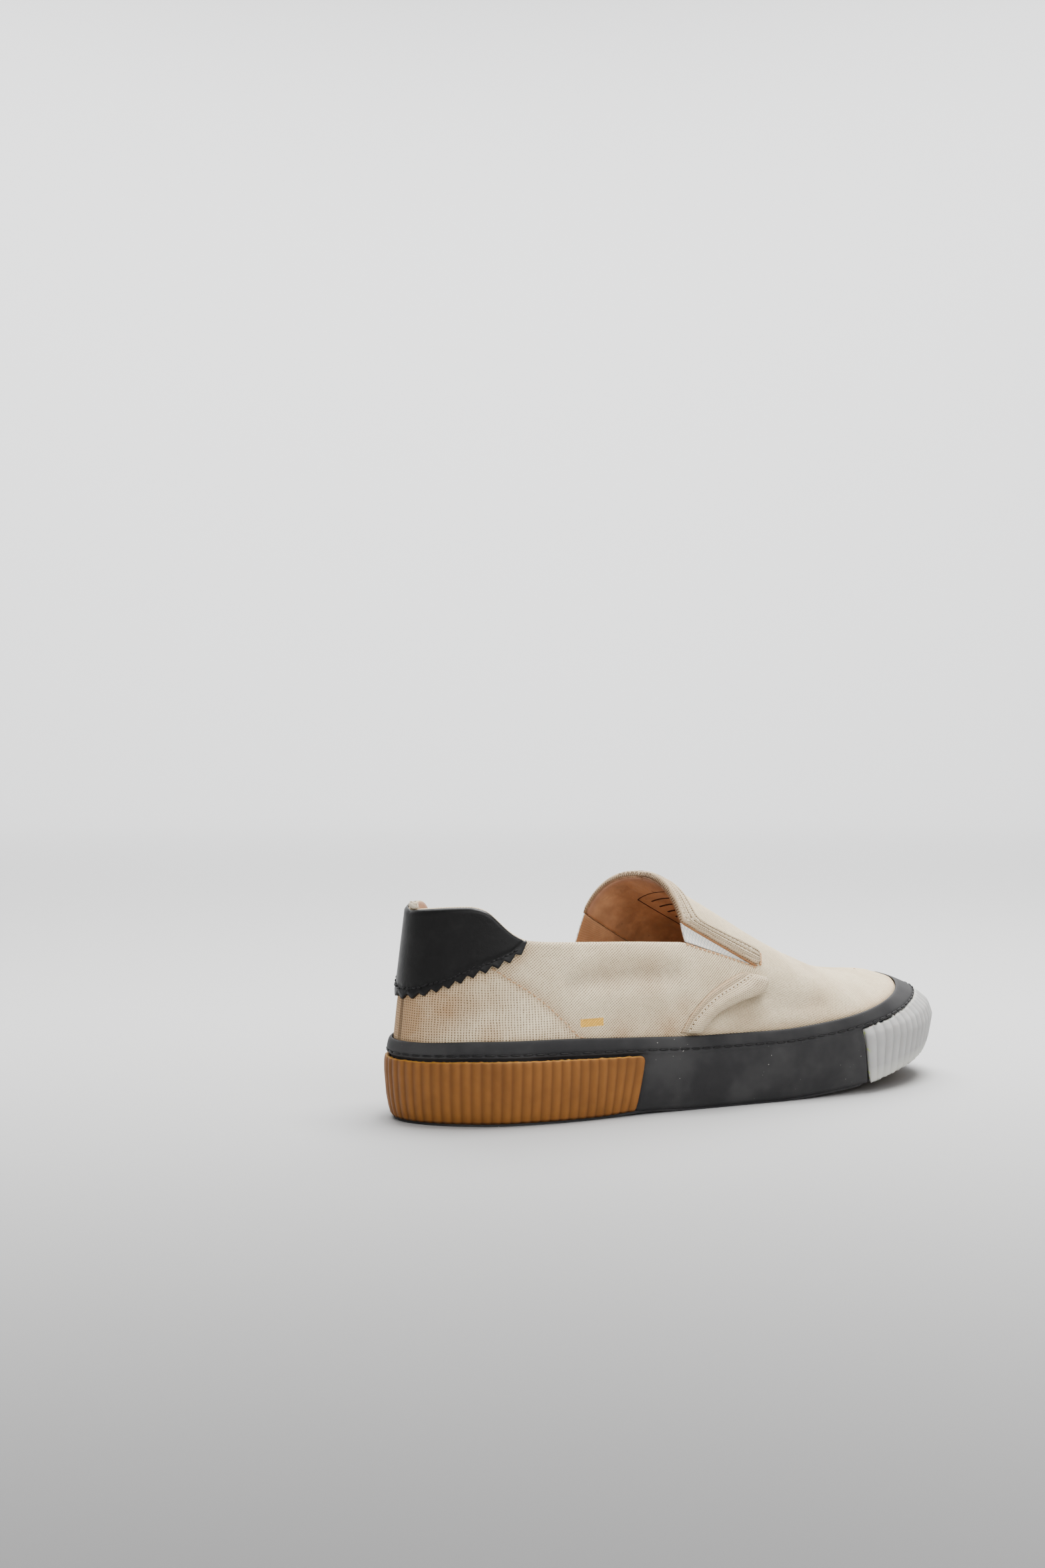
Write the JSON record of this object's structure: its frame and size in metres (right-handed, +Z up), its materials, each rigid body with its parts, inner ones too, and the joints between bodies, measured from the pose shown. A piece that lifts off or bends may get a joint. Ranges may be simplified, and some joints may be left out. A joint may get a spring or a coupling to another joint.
{
  "type": "slip-on sneaker",
  "caption": "Right canvas slip-on sneaker with elastic side gores, pinked leather heel tab and black cupsole with ribbed amber heel and white toe bumpers",
  "frame": {"origin": "on the ground, under the middle of the shoe's bounding box", "axes": "+X from heel to toe, -Y the outer (lateral) side, +Z up"},
  "size_m": [0.2898, 0.102, 0.1015],
  "materials": {
    "black_rubber": "matte black vulcanised rubber",
    "amber_rubber": "slightly translucent amber gum rubber, ribbed",
    "white_rubber": "matte off-white rubber, ribbed",
    "lining": "tan lining cloth",
    "canvas": "cream plain-weave canvas",
    "black_leather": "smooth semi-gloss black leather, pinked hem",
    "elastic": "off-white woven elastic"
  },
  "bodies": {
    "root": {"outsole": "black_rubber", "cupsole": "black_rubber", "heel_bumper": "amber_rubber", "toe_bumper": "white_rubber", "insole": "lining", "upper": "canvas", "heel_tab": "black_leather", "gore_lateral": "elastic", "gore_medial": "elastic", "mouth_band": "canvas", "side_band_lateral": "canvas", "side_band_medial": "canvas"}
  },
  "joints": []
}
